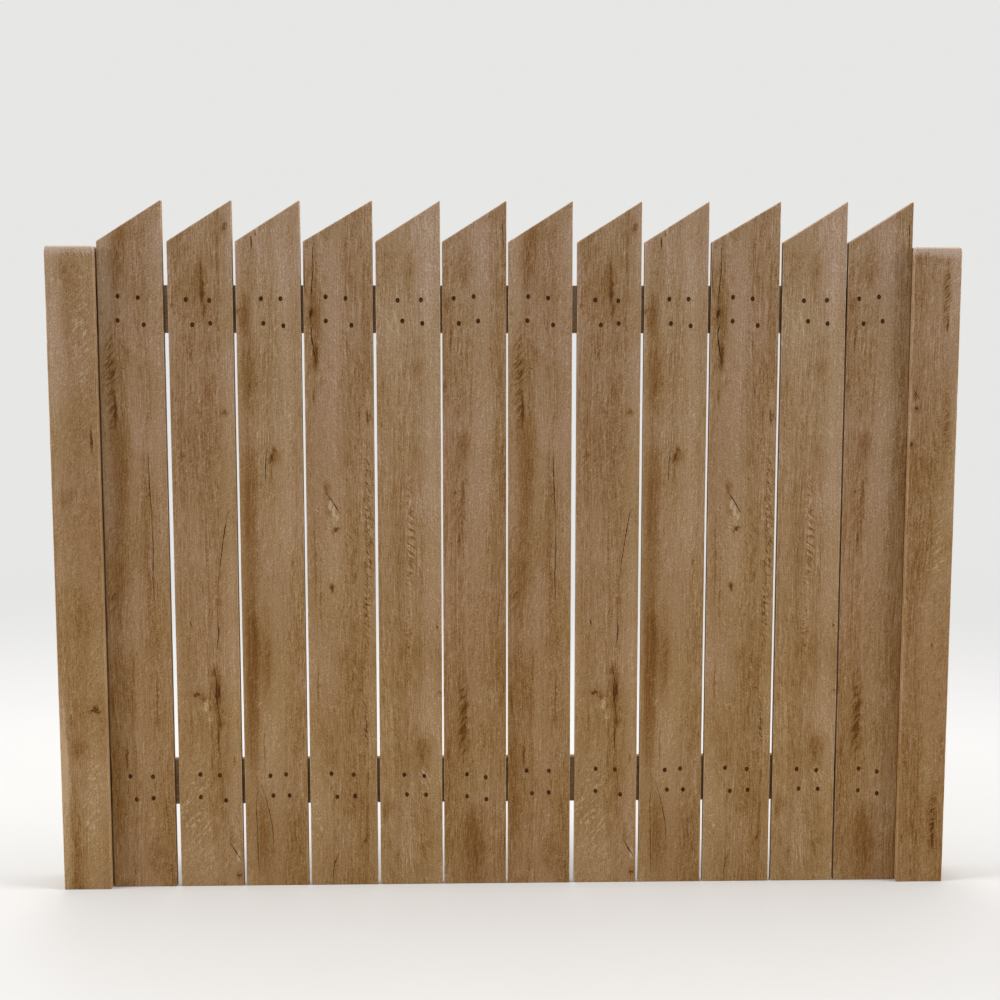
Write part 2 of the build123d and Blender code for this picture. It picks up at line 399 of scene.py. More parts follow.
class Finish:
    """A material, or the light of the room, being mixed node by node."""

    def __init__(self, owner):
        self.owner = owner
        owner.use_nodes = True
        self.tree = owner.node_tree
        self.tree.nodes.clear()

    def add(self, kind, settings=None, sockets=None, out=0):
        """One node: its settings first, then the values or links of its sockets.

        Hands back one of its outputs, or nothing where it is the last node.
        """
        node = self.tree.nodes.new(kind)
        for name, value in (settings or {}).items():
            if name == "stops":
                self.set_stops(node.color_ramp, value)
            else:
                setattr(node, name, value)
        for key, value in (sockets or {}).items():
            socket = self.find(node.inputs, key)
            if isinstance(value, Value):
                self.tree.links.new(value.socket, socket)
            else:
                socket.default_value = value
        return Value(self, self.find(node.outputs, out)) if node.outputs else None

    @staticmethod
    def find(sockets, key):
        """A socket by its number, its identifier or else its name."""
        if isinstance(key, int):
            return sockets[key]
        for socket in sockets:
            if socket.identifier == key:
                return socket
        return sockets[key]

    @staticmethod
    def set_stops(ramp, stops):
        """Fills a colour scale with (place, colour) stops."""
        while len(ramp.elements) < len(stops):
            ramp.elements.new(1.0)
        for element, (place, colour) in zip(ramp.elements, stops):
            element.position = place
            element.color = (*colour, 1.0)

    def vector(self, operation, first, second=(0.0, 0.0, 0.0), out=0):
        return self.add("ShaderNodeVectorMath", {"operation": operation}, {0: first, 1: second}, out)

    def parts(self, vector):
        """The three values of a vector."""
        node = self.add("ShaderNodeSeparateXYZ", {}, {0: vector}).socket.node
        return [Value(self, socket) for socket in node.outputs]

    def millimetres(self, lying=False):
        """Places on the piece in millimetres, with its length upwards also where it lies."""
        local = self.add("ShaderNodeTexCoord", {}, {}, "Object")
        if lying:
            along, deep, across = self.parts(local)
            local = self.add("ShaderNodeCombineXYZ", {}, {0: across, 1: deep, 2: along})
        return self.vector("MULTIPLY", local, (1000.0, 1000.0, 1000.0))

    def grain(self, place, size, detail, rough):
        """Noise whose lumps are about size = (across, deep, along) in the units of place."""
        scaled = self.vector("MULTIPLY", place, tuple(1.0 / s for s in size))
        return self.add("ShaderNodeTexNoise", {"noise_dimensions": "3D"},
                        {"Vector": scaled, "Scale": 1.0, "Detail": detail, "Roughness": rough})

    def leaning(self, place, lean, size):
        """Noise whose lumps have about the given size and lean over."""
        turned = self.add("ShaderNodeMapping", {"vector_type": "TEXTURE"},
                          {"Vector": place, "Rotation": (0.0, lean, 0.0), "Scale": size})
        return self.add("ShaderNodeTexNoise", {}, {"Vector": turned, "Scale": 1.0, "Detail": 1.0})

    def crossing(self, level, width):
        """Thin lines where a noise passes through its middle."""
        return self.ease(abs(level - 0.5), 0.0, width, 1.0, 0.0)

    def push(self, place, amount, reach):
        """Points moved by reach for each whole unit of a noise value."""
        return self.add("ShaderNodeVectorMath", {"operation": "MULTIPLY_ADD"},
                        {0: amount, 1: reach, 2: place})

    def ease(self, value, low, high, start=0.0, end=1.0):
        """Smoothly from start to end while value goes from low to high."""
        return self.add("ShaderNodeMapRange", {"interpolation_type": "SMOOTHSTEP"},
                        {"Value": value, "From Min": low, "From Max": high,
                         "To Min": start, "To Max": end})

    def ramp(self, value, stops):
        """A colour read off a scale of (place, colour) stops."""
        return self.add("ShaderNodeValToRGB", {"stops": stops}, {"Fac": value}, "Color")

    def mix(self, amount, under, over, blend="MIX"):
        """Two colours mixed; a plain colour is given as its three values."""
        under, over = (c if isinstance(c, Value) else (*c, 1.0) for c in (under, over))
        return self.add("ShaderNodeMix", {"data_type": "RGBA", "blend_type": blend},
                        {"Factor_Float": amount, "A_Color": under, "B_Color": over}, "Result_Color")

    def close(self, colour, roughness, height, depth, gloss, metal=0.0):
        """The surface itself, with its relief, wired to the output."""
        relief = self.add("ShaderNodeBump", {},
                          {"Strength": 1.0, "Distance": depth, "Height": height}, "Normal")
        surface = self.add("ShaderNodeBsdfPrincipled", {},
                           {"Base Color": colour, "Roughness": roughness, "Normal": relief,
                            "Metallic": metal, "Specular IOR Level": gloss}, "BSDF")
        return self.put_out(surface)

    def seen(self):
        """1 for a ray that shows a surface to the eye, 0 for one that only carries light."""
        rays = self.add("ShaderNodeLightPath").socket.node.outputs
        straight, mirrored, through = (Value(self, rays[name]) for name in (
            "Is Camera Ray", "Is Glossy Ray", "Is Transmission Ray"))
        return straight.greater(mirrored).greater(through)

    def put_out(self, surface, kind="ShaderNodeOutputMaterial"):
        """Wires the result to its output and hands back the material or the room."""
        self.add(kind, {}, {"Surface": surface})
        return self.owner


class Oak(Finish):
    """Knotty oak for one piece: its grain, its own marks, its worn edges and its colour."""

    def __init__(self, name, look, marks, size, seed, lying=False):
        """size is the piece's (width, thickness) in millimetres."""
        super().__init__(bpy.data.materials.new(name))
        self.look = look
        self.marks = marks
        self.width, self.thickness = size
        self.lying = lying
        self.place = self.millimetres(lying)
        self.across, self.deep, self.along = self.parts(self.place)
        wood = self.vector("ADD", self.place, tuple(seed * step for step in SEED_STEP))
        # The grain wanders: a slow sway, a quicker waver and a short frizz
        self.sway, waver, self.frizz, self.cloud = (
            self.grain(wood, *GRAINS[kind]) for kind in ("sway", "waver", "frizz", "cloud"))
        self.swayed = self.push(wood, self.sway, SWAY_PUSH)
        self.bent = self.push(self.swayed, waver, WAVER_PUSH)
        self.soft = self.push(self.place, waver - 0.5, SOFT_PUSH)
        self.ragged = self.push(self.soft, self.frizz - 0.5, RAGGED_PUSH)
        self.bands, self.lines, self.fine, self.grit = (
            self.grain(self.bent, *GRAINS[kind]) for kind in ("bands", "lines", "fine", "grit"))

    def reach(self, place, spot):
        """How far a point is from a spot's middle, 1 at its rim. Spots fade through the wood."""
        across, along, half_width, half_height = spot[:4]
        near = self.add("ShaderNodeMapping", {"vector_type": "TEXTURE"},
                        {"Vector": place, "Location": (across, 0.0, along),
                         "Scale": (half_width, SPOT_DEPTH, half_height)})
        return self.vector("LENGTH", near, out="Value")

    def fade(self, far, kind, strength):
        """A spot's strength where it is so far away."""
        core, rim, weight = FADES[kind]
        return self.ease(far, core, rim, strength * weight, 0.0)

    def spread(self, place, kind):
        """The summed strength of the piece's soft spots of one kind, or 0 where it has none."""
        strengths = [self.fade(self.reach(place, spot), kind, spot[4])
                     for spot in getattr(self.marks, kind)]
        return sum(strengths[1:], strengths[0]) if strengths else 0.0

    def grown_tone(self):
        """Light and dark of the bare grain: 0 is the darkest knot and 1 the palest sapwood."""
        look = self.look
        vein = self.crossing(self.lines, VEIN_WIDTH)
        busy = self.ease(self.bands, *EASES["busy"])
        figure = ((self.lines - 0.5) * look.line_depth + (self.fine - 0.5) * look.fine_depth
                  - vein * look.vein_depth)
        tone = (look.mean_tone + self.marks.tone + (self.bands - 0.5) * look.band_depth
                + (self.cloud - 0.5) * look.cloud_depth + (self.grit - 0.5) * look.grit_depth
                + (self.frizz - 0.5) * look.frizz_depth + figure * busy)
        # Hairlines of ray fleck: faint everywhere, plain to see where the saw met the rays
        level = self.leaning(self.swayed, self.marks.lean * HAIR_LEAN, HAIR_SIZE)
        hair = self.crossing(level, HAIR_WIDTH) * self.ease(self.frizz, *EASES["broken_hair"])
        return tone + hair * (HAIR_LEAST + self.spread(self.soft, "flecks")) * look.fleck_lift

    def marked_tone(self, tone):
        """The tone with the piece's strokes, patches, streaks, pale spots and knots."""
        marks = self.marks
        streaky = 0.1 + self.lines + self.fine * 0.8
        if marks.strokes:
            size = (marks.stroke_wide, STROKE_DEEP, marks.stroke_wide * STROKE_LENGTH)
            stroke = self.ease(self.leaning(self.bent, marks.lean, size), *EASES["stroke"])
            darker = stroke * STROKE_DARK - marks.stroke_pale
            tone = tone - self.spread(self.ragged, "strokes") * darker
        patchy = self.cloud * 0.6 + self.grit * 0.6 + self.ease(self.lines, *EASES["patchy"])
        tone = tone - self.spread(self.soft, "patches") * patchy
        tone = tone - self.spread(self.ragged, "streaks") * streaky
        tone = tone + self.spread(self.ragged, "pale")
        gnarled = self.push(self.soft, self.frizz - 0.5, GNARLED_PUSH)
        for knot in marks.knots:
            far = self.reach(gnarled, knot)
            core, halo = (self.fade(far, kind, knot[4]) for kind in ("knot_core", "knot_halo"))
            waves = (far * HALO_WAVES).sine() * HALO_WAVE
            tone = tone - core * streaky - halo * (HALO_DARK + waves)
        return tone

    def end_cut(self):
        """1 on a sawn end and 0 along the grain."""
        facing = self.parts(self.add("ShaderNodeNewGeometry", {}, {}, "Normal"))
        return self.ease(abs(facing[0 if self.lying else 2]), *EASES["end_cut"])

    def rings(self):
        """Growth rings round a pith that lies outside the piece."""
        pith = (self.width * PITH[0], self.thickness * PITH[1], 0.0)
        away = self.vector("MULTIPLY", self.vector("ADD", self.place, pith), (1.0, 1.0, 0.0))
        far = self.vector("LENGTH", away, out="Value")
        return (far * RING_PITCH + self.cloud * RING_WANDER).sine()

    def mixed(self, slant=None, worn_top=None):
        """The finished material. slant is a board's (rise, shoulder), worn_top a post's height."""
        look = self.look
        end_cut = self.end_cut()
        tone = self.marked_tone(self.grown_tone())
        tone = tone + end_cut * (self.rings() * RING_DEPTH - END_DARK)

        # Eased edges are rubbed paler, the rim of a slanted top among them, and that rim also gets a
        # painted highlight for the light that catches it from above
        side_near = self.across.lesser(self.width - self.across)
        face_near = self.deep.lesser(self.thickness - self.deep)
        edge = side_near.greater(face_near)
        if slant is not None:
            rise, shoulder = slant
            top_near = (shoulder + self.across * rise - self.along) / math.hypot(1.0, rise)
            edge = edge.lesser(top_near.greater(face_near))
            tone = tone + self.ease(top_near, *EASES["slant_rim_highlight"])
        rubbed = self.ease(edge, look.rub_inner / MM, look.rub_outer / MM, 1.0, 0.0)
        tone = tone + rubbed * self.fine * RUB_LIFT
        if worn_top is not None:
            ragged_height = self.along + (self.cloud + self.frizz + self.grit - 1.5) * WEATHER_RAGGED
            weather = self.ease(ragged_height, *(worn_top - drop for drop in WEATHER_BAND))
            tone = tone + weather * WEATHER_LIFT

        colour = self.ramp(tone, [
            (0.0, look.knot_dark), (0.16, look.streak_dark), (0.33, look.streak_brown),
            (0.5, look.patch_brown), (0.66, look.face_tan), (0.83, look.face_pale),
            (1.0, look.sap_pale)])
        redness = self.ease(self.sway * 0.6 + self.cloud * 0.4, *EASES["redness"]) + self.marks.red
        colour = self.mix(1.0, colour, self.mix(redness, look.yellow_tint, look.red_tint), "MULTIPLY")
        # A painted tint of the light: warm at the foot and cool and greyer towards the head
        if not self.lying:
            light_tint_share = self.ease(self.along, *LIGHT_TINT_HEIGHTS)
            colour = self.mix(1.0, colour, self.mix(light_tint_share, look.foot_light_tint, look.head_light_tint), "MULTIPLY")
        # A post's head is weathered grey, and a painted highlight along the rim of its top stands in
        # for light catching it
        if worn_top is not None:
            bleach = weather * (self.ease(self.grit, *EASES["bleach"]) - end_cut * 0.25)
            rim = self.ease(side_near.lesser(face_near), *EASES["post_rim_highlight"])
            crest = self.ease(self.along, *(worn_top - drop for drop in POST_HIGHLIGHT_BAND)) * rim
            crest = crest * (0.55 + self.grit * 0.8)
            colour = self.mix(crest, self.mix(bleach, colour, look.worn_grey), look.crest_highlight)
        roughness = (0.54 + self.fine * 0.2) + self.grit * 0.08 - rubbed * 0.06
        height = self.fine * 0.6 + self.lines * 0.5 + self.grit * 0.5
        return self.close(colour, roughness, height, look.relief, look.gloss)


def inside_finish(look):
    """The inside of splits and nail holes: dark torn wood, coloured darker still as painted shade in
    these narrow hollows; made when first needed.
    """
    made = bpy.data.materials.get("split_oak")
    if made:
        return made
    torn = Finish(bpy.data.materials.new("split_oak"))
    place = torn.millimetres()
    shred = torn.grain(place, (1.0, 1.0, 9.0), 3.0, 0.6)
    deep = torn.grain(place, (6.0, 6.0, 30.0), 2.0, 0.5)
    colour = torn.ramp(shred * 0.5 + deep * 0.5, [(0.25, look.hollow_dark_and_shade), (0.75, look.streak_dark)])
    return torn.close(colour, 0.8 + shred * 0.15, shred, 0.4 * MM, 0.05)


def iron_finish(look):
    """Nail heads of dark oxidised iron with brown bloom in the hollows."""
    iron = Finish(bpy.data.materials.new("nail_iron_dark"))
    place = iron.millimetres()
    bloom = iron.grain(place, (2.4, 2.4, 2.4), 3.0, 0.6)
    pit = iron.grain(place, (0.7, 0.7, 0.7), 2.0, 0.6)
    own = iron.grain(place, (19.0, 19.0, 17.0), 0.0, 0.5)
    rust = iron.ease(bloom + (own - 0.5) * 0.7, 0.42, 0.66)
    colour = iron.mix(rust, look.iron_dark, look.iron_rust)
    colour = iron.mix(iron.ease(pit, 0.55, 0.75, 0.0, 0.5), colour, look.hollow_dark_and_shade)
    roughness = 0.5 + rust * 0.3 + pit * 0.1
    return iron.close(colour, roughness, bloom * 0.6 + pit, 0.25 * MM, 0.08, 0.12 - rust * 0.1)


def floor_finish(stage):
    """Matt pale paint that fades into the backdrop far out."""
    paint = Finish(bpy.data.materials.new("pale_floor"))
    place = paint.add("ShaderNodeTexCoord", {}, {}, "Object")
    mottle = paint.grain(place, (0.5, 0.5, 0.5), 3.0, 0.5)
    tint = paint.mix(paint.ease(mottle, 0.3, 0.7, 0.0, 0.04), stage.floor_colour, (0.5, 0.5, 0.5))
    matt = paint.add("ShaderNodeBsdfPrincipled", {}, {
        "Base Color": tint, "Roughness": 1.0, "Specular IOR Level": 0.0}, "BSDF")
    glow = paint.add("ShaderNodeEmission", {}, {"Color": (*stage.backdrop_colour, 1.0)}, "Emission")
    fade = paint.ease(paint.vector("LENGTH", place, out="Value"), 0.9, 5.0) * paint.seen()
    return paint.put_out(paint.add("ShaderNodeMixShader", {}, {0: fade, 1: matt, 2: glow}))


def room_light(stage):
    """Even light from all round; the camera sees the pale backdrop instead."""
    room = Finish(bpy.data.worlds.new("studio"))
    even = room.add("ShaderNodeBackground", {}, {
        "Color": (1.0, 0.99, 0.975, 1.0), "Strength": stage.sky_light})
    backdrop = room.add("ShaderNodeBackground", {}, {"Color": (*stage.backdrop_colour, 1.0)})
    light = room.add("ShaderNodeMixShader", {}, {0: room.seen(), 1: even, 2: backdrop})
    return room.put_out(light, "ShaderNodeOutputWorld")


def section(width, depth, radii, inset):
    """A rectangle whose corners are rounded, each by its own radius, drawn in by inset."""
    points = []
    for number, (side, face) in enumerate(((0, 0), (1, 0), (1, 1), (0, 1))):
        radius = max(radii[number] - inset, LEAST_RADIUS)
        x = width - inset - radius if side else inset + radius
        y = depth - inset - radius if face else inset + radius
        start = math.pi * (1 + 0.5 * number)
        for step in range(CORNER_STEPS + 1):
            bend = start + 0.5 * math.pi * step / CORNER_STEPS
            points.append((x + radius * math.cos(bend), y + radius * math.sin(bend)))
    return points


def worn_section(width, depth, radius, wear, seed, along, inset=0.0):
    """A section whose four long edges are rubbed more here and less there, with a chip at times."""
    radii = []
    for corner in range(4):
        rub = Vector((seed * 7.3 + corner * 3.1, along * RUBS_PER_METRE, seed * 1.7))
        chip = Vector((seed * 5.1 + corner * 4.7, along * CHIPS_PER_METRE, seed * 2.9))
        swing = noise.noise(rub) * RUB_SWING + max(noise.noise(chip) - CHIP_LEVEL, 0.0) * CHIP_SWING
        radii.append(radius * (1.0 + wear * swing))
    return section(width, depth, radii, inset)


def skin(rings):
    """A closed mesh through rings of points, capped at both ends."""
    form = bmesh.new()
    laid = [[form.verts.new(point) for point in ring] for ring in rings]
    count = len(rings[0])
    for low, high in zip(laid, laid[1:]):
        for i in range(count):
            j = (i + 1) % count
            form.faces.new((low[i], low[j], high[j], high[i]))
    form.faces.new(reversed(laid[0]))
    form.faces.new(laid[-1])
    bmesh.ops.recalc_face_normals(form, faces=form.faces)
    return form


def to_mesh(form, name):
    """A bmesh form as a mesh of its own."""
    mesh = bpy.data.meshes.new(name)
    form.to_mesh(mesh)
    form.free()
    return mesh


def join_forms(forms):
    """Several bmesh forms as one."""
    whole = bmesh.new()
    for form in forms:
        part = to_mesh(form, "part")
        whole.from_mesh(part)
        bpy.data.meshes.remove(part)
    return whole


def put_in_scene(name, form, place, material):
    """A new object at its place, with its finish."""
    piece = bpy.data.objects.new(name, to_mesh(form, name))
    piece.location = place
    bpy.context.scene.collection.objects.link(piece)
    piece.data.materials.append(material)
    return piece


def carve(piece, forms, inside):
    """Cuts the forms out of a piece; the cut faces take the inside finish."""
    tool = put_in_scene(piece.name + "_tool", join_forms(forms), piece.location, inside)
    cut = piece.modifiers.new("carve", "BOOLEAN")
    cut.operation = "DIFFERENCE"
    cut.solver = "EXACT"
    cut.use_self = True
    cut.material_mode = "TRANSFER"
    cut.object = tool
    bpy.context.view_layer.update()
    finished = piece.evaluated_get(bpy.context.evaluated_depsgraph_get())
    carved = bpy.data.meshes.new_from_object(finished)
    piece.modifiers.clear()
    rough, piece.data = piece.data, carved
    tool_mesh = tool.data
    bpy.data.objects.remove(tool)
    for used in (rough, tool_mesh):
        bpy.data.meshes.remove(used)
    if len(carved.polygons) < len(forms):
        raise RuntimeError("carving left nothing of " + piece.name)


def smooth(piece, crease):
    """Round edges shade as round and flat faces as flat."""
    piece.data.shade_smooth()
    piece.data.set_sharp_from_angle(angle=math.radians(crease))
    even = piece.modifiers.new("even_shading", "WEIGHTED_NORMAL")
    even.keep_sharp = True


def dress(piece, forms, look, nodes):
    """A wooden piece is carved, shaded and put in the place of its CAD nodes."""
    carve(piece, forms, inside_finish(look))
    smooth(piece, WOOD_CREASE)
    hand_over(piece, nodes)


def hand_over(piece, nodes):
    """The piece stands for its CAD nodes."""
    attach(piece, "root")
    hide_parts(*nodes)


def split_tool(width, points, chance):
    """A thin wedge along a wandering line: a drying split, widest in its middle."""
    path = []
    for start, end in zip(points, points[1:]):
        pieces = max(2, int(math.dist(start, end) / SPLIT_STEP))
        for step in range(pieces):
            part = step / pieces
            path.append([start[k] + (end[k] - start[k]) * part for k in (0, 1)])
    path.append(list(points[-1]))
    last = len(path) - 1
    rings = []
    for i, (x, z) in enumerate(path):
        before = path[max(i - 1, 0)]
        after = path[min(i + 1, last)]
        tangent = Vector((after[0] - before[0], after[1] - before[1])).normalized()
        swell = math.sin(math.pi * (i + 0.35) / (last + 0.7)) ** SPLIT_SWELL
        half = SPLIT_MEAN_HALF * width * swell * chance.uniform(*SPLIT_HALVES)
        deep = SPLIT_FLOOR + width * swell * chance.uniform(*SPLIT_DEPTHS)
        x += chance.uniform(-SPLIT_WANDER, SPLIT_WANDER) if 0 < i < last else 0.0
        off = Vector((-tangent.y, tangent.x)) * half * SPLIT_FLARE
        lean = chance.uniform(-SPLIT_LEAN, SPLIT_LEAN) * half
        rings.append([Vector(corner) * MM for corner in (
            (x + off.x, SPLIT_PROUD, z + off.y), (x + lean, deep, z),
            (x - off.x, SPLIT_PROUD, z - off.y))])
    return skin(rings)


def oval(half, x, y, z, turn=0.0, ripple=None, count=OVAL_STEPS):
    """An upright oval facing the front; half is its half width and half height."""
    ring = []
    for i in range(count):
        bend = 2 * math.pi * i / count
        grow = 1.0 if ripple is None else 1.0 + HAMMERING * noise.noise(Vector((ripple, bend, 0.3)))
        a, b = half[0] * grow * math.cos(bend), half[1] * grow * math.sin(bend)
        ring.append(Vector((x + a * math.cos(turn) - b * math.sin(turn), y,
                            z + a * math.sin(turn) + b * math.cos(turn))))
    return ring


def nail_places(number):
    """Middles of a board's eight nails in the frame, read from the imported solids."""
    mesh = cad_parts["picket_%02d_nails" % number].data
    front = min(vertex.co.y for vertex in mesh.vertices)
    heads = [vertex.co.copy() for vertex in mesh.vertices if vertex.co.y < front + HEAD_SLICE]
    groups = []
    for point in heads:
        near = [group for group in groups if (group[0] - point).length < HEAD_REACH]
        if near:
            near[0].append(point)
        else:
            groups.append([point])
    if len(groups) != NAILS_PER_BOARD:
        raise RuntimeError("board %d has %d nails" % (number, len(groups)))
    middles = []
    for group in groups:
        xs, zs = [p.x for p in group], [p.z for p in group]
        middles.append((0.5 * (min(xs) + max(xs)), 0.5 * (min(zs) + max(zs))))
    return middles


def measure(name, description, default, least, most):
    """A size that a user can change, given in millimetres."""
    return FloatProperty(name=name, description=description, default=default * MM,
                         min=least * MM, max=most * MM, unit="LENGTH")


def share(name, description, default, most=1.0):
    """A strength that a user can change."""
    return FloatProperty(name=name, description=description, default=default,
                         min=0.0, max=most, subtype="FACTOR")


def swatch(name, description, default, most=1.0):
    """A colour that a user can change, given in linear values."""
    return FloatVectorProperty(name=name, description=description, default=default,
                               min=0.0, max=most, subtype="COLOR")


def watts(name, description, default):
    """A lamp's power."""
    return FloatProperty(name=name, description=description, default=default, unit="POWER")


def angle(name, description, degrees):
    """An angle that a user can change."""
    return FloatProperty(name=name, description=description, default=math.radians(degrees),
                         subtype="ANGLE")


class FenceTimber(bpy.types.PropertyGroup):
    """Sizes of the woodwork that the solids leave open."""

    board_round: measure("Board edge", "Radius of the boards' eased edges", 1.7, 0.3, 4)
    rail_round: measure("Rail edge", "Radius of the rails' eased edges", 1.7, 0.3, 4)
    post_round: measure("Post edge", "Radius of the posts' rounded edges", 2.4, 1, 10)
    edge_wear: share("Edge wear", "How unevenly the edges are rubbed", 0.55, most=0.9)
    ring_step: measure("Wear step", "Length of one step of wear along an edge", 12, 4, 60)
    nail_sink: measure("Nail sink", "How far nail heads are punched below the face", 0.8, 0, 1.2)
    hole_room: measure("Nail hole room", "Room round a nail head in its hole", 0.25, 0.05, 0.6)


class FenceLook(bpy.types.PropertyGroup):
    """Colours and strength of the oak's figure and of the iron."""

    face_tan: swatch("Face", "Usual colour of the oak face", shade(141, 112, 77))
    face_pale: swatch("Pale grain", "Lighter bands of the face", shade(155, 128, 97))
    sap_pale: swatch("Sapwood", "Palest wood and rubbed edges", shade(175, 152, 124))
    patch_brown: swatch("Brown patch", "Soft brown patches and bands", shade(123, 89, 51))
    streak_brown: swatch("Brown streak", "Brown streaks and knot rims", shade(102, 68, 31))
    streak_dark: swatch("Dark streak", "Dark streaks and knots", shade(76, 47, 21))
    knot_dark: swatch("Knot heart", "Darkest knots", shade(46, 26, 10))
    # Inside of splits and nail holes: dark torn wood with painted shade; also the dark in the pits of
    # the nails
    hollow_dark_and_shade: swatch("Split", "Inside of splits and nail holes", shade(56, 34, 16))
    red_tint: swatch("Red tint", "Colour that warms the redder zones", (0.977, 0.932, 1.0))
    yellow_tint: swatch("Yellow tint", "Colour of the honey-coloured zones", (1.0, 0.995, 0.952))
    # Painted tint of the light, warm near the ground and cool and greyer towards the top, multiplied
    # into the wood's colour
    foot_light_tint: swatch("Foot tint", "Warmth kept near the ground", (1.0, 0.97, 0.885), most=2.0)
    head_light_tint: swatch("Head tint", "Greyer wood towards the top", (1.0, 1.045, 1.22), most=2.0)
    # Painted highlight along the rim of a post's top
    crest_highlight: swatch("Post crest", "Bleached rim along the top of a post", shade(208, 190, 172))
    worn_grey: swatch("Worn top", "Weathered wood on the post tops", shade(172, 151, 135))
    iron_dark: swatch("Iron", "Bare dark iron of the nails", shade(66, 37, 12))
    iron_rust: swatch("Rust", "Brown bloom on the nails", shade(91, 54, 20))
    mean_tone: share("Mean tone", "Lightness of the plain face", 0.685)
    band_depth: share("Bands", "Strength of broad bands", 0.33)
    cloud_depth: share("Clouds", "Strength of cloudy patches", 0.3)
    line_depth: share("Lines", "Strength of long grain lines", 0.26)
    fine_depth: share("Fine grain", "Strength of the fine grain", 0.42)
    grit_depth: share("Pores", "Strength of the short pores", 0.6)
    vein_depth: share("Veins", "Darkness of the thin growth lines", 0.06)
    frizz_depth: share("Mottle", "Strength of the small mottling", 0.08)
    fleck_lift: share("Ray fleck", "Lightness of the ray hairlines", 0.2)
    gloss: share("Gloss", "Mirror-like part of the dry oak's sheen", 0.05)
    rub_inner: measure("Rub inner", "Fully rubbed up to this far from an edge", 0.6, 0, 10)
    rub_outer: measure("Rub outer", "Rubbing ends this far from an edge", 2.0, 0, 10)
    relief: measure("Relief", "Depth of the grain's relief", 0.3, 0, 2)


class FenceStage(bpy.types.PropertyGroup):
    """Floor, light and camera."""

    floor_colour: swatch("Floor", "Paint on the floor", (0.70, 0.695, 0.685))
    backdrop_colour: swatch("Backdrop", "Pale background", (0.80, 0.80, 0.79))
    sky_light: share("Room light", "Strength of the even light from all round", 0.40)
    key_power: watts("Key", "Soft lamp in front", 15.0)
    side_power: watts("Side", "Each of the soft lamps far to the sides", 660.0)
    top_power: watts("Top", "Soft lamp overhead", 60.0)
    back_power: watts("Back", "Soft lamp high behind the fence", 75.0)
    lens: FloatProperty(
        name="Lens", description="Focal length in millimetres", default=50.0, unit="CAMERA")
    camera_place: FloatVectorProperty(
        name="Camera", description="Where the camera stands", default=(-0.0835, -2.8, 1.08),
        subtype="TRANSLATION")
    camera_tilt: angle("Tilt", "Downward tilt", 5.903)
    camera_turn: angle("Turn", "Turn about the upright", -1.457)


class FENCE_OT_posts(bpy.types.Operator):
    """Two square posts with rounded edges, worn tops and a mortise for each rail"""

    bl_idname = "fence.posts"
    bl_label = "Posts"

    def execute(self, context):
        timber, look = context.scene.fence_timber, context.scene.fence_look
        for side, seed in POST_SEEDS.items():
            low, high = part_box(side + "_post")
            width, depth, tall = high - low
            marks = POST_MARKS[side]
            oak = Oak("post_oak_" + side, look, marks, (width / MM, depth / MM), seed)
            form = skin(self.rings(timber, width, depth, tall, seed))
            piece = put_in_scene("post_" + side, form, low, oak.mixed(worn_top=tall / MM))
            chance = random.Random(seed)
            tools = [split_tool(wide, points, chance) for wide, points in marks.splits]
            tools += [self.mortise(name + "_rail", side, low) for name in RAIL_SEEDS]
            dress(piece, tools, look, [side + "_post"])
        return {"FINISHED"}

    @staticmethod
    def rings(timber, width, depth, tall, seed):
        """The post's sections from its foot to its worn top."""
        start, end = POST_FOOT[-1][1] * MM, tall - POST_CAP[0][1] * MM
        steps = int((end - start) / timber.ring_step)
        edge = timber.post_round
        levels = [(up * MM, inset * MM, edge) for inset, up in POST_FOOT]
        levels += [(start + (end - start) * step / steps, 0.0, edge) for step in range(1, steps)]
        levels += [(tall - drop * MM, inset * MM, edge + CAP_ROUNDING * inset * MM)
                   for inset, drop in POST_CAP]
        rings = []
        for up, inset, radius in levels:
            points = worn_section(width, depth, radius, timber.edge_wear, seed, up, inset)
            rings.append([(x, y, up) for x, y in points])
        return rings

    @staticmethod
    def mortise(rail, side, origin):
        """A box a hair larger than the rail's tenon, from outside the post's inner face."""
        low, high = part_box(rail)
        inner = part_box("right_post")[0].x
        ends = [inner - OVERSHOOT, inner + MORTISE_DEPTH]
        if side == "left":
            ends = [-x for x in reversed(ends)]
        front, back = low.y - MORTISE_ROOM, high.y + MORTISE_ROOM
        trim = TENON_SHOULDER - MORTISE_ROOM
        bottom, top = low.z + trim, high.z - trim
        corners = ((front, bottom), (back, bottom), (back, top), (front, top))
        return skin([[Vector((x, y, z)) - origin for y, z in corners] for x in ends])


